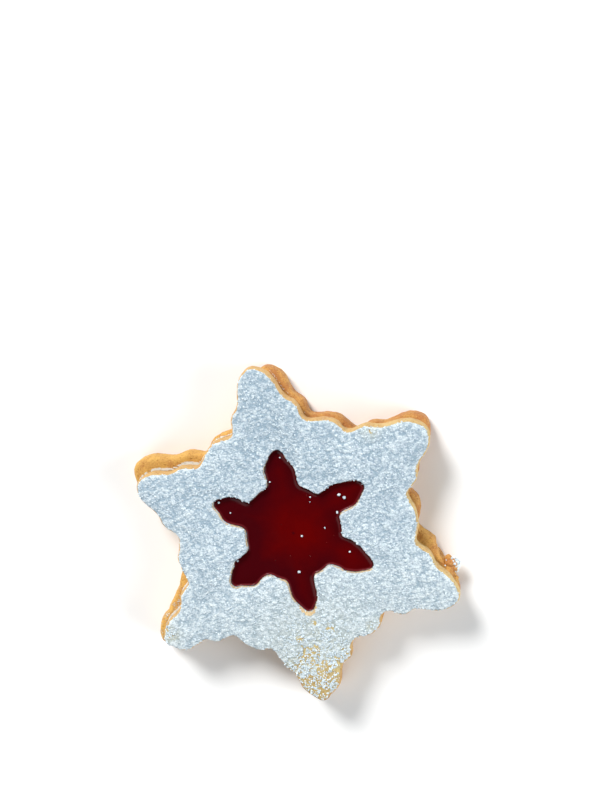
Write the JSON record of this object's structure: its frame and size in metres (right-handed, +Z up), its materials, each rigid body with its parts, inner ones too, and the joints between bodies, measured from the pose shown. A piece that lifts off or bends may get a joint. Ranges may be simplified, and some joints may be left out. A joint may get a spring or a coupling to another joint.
{
  "type": "linzer cookie",
  "caption": "Snowflake sandwich biscuit: a whole shortbread biscuit, dark red jam, and an upper biscuit with a small snowflake window, dusted with icing sugar.",
  "frame": {"origin": "centre of the biscuit's footprint on the surface that it lies on", "axes": "+Z up through the window, +Y along one arm, the longest extent, and +X to its right seen from above"},
  "size_m": [0.0728, 0.0816, 0.0112],
  "materials": {
    "shortbread": "baked golden shortbread, dry and finely crumbly",
    "jam": "dark red set jam, wet gloss",
    "dusted_shortbread": "pale shortbread under a thick matt dusting of icing sugar"
  },
  "bodies": {
    "root": {"bottom_biscuit": "shortbread", "jam": "jam", "top_biscuit": "dusted_shortbread"}
  },
  "joints": []
}
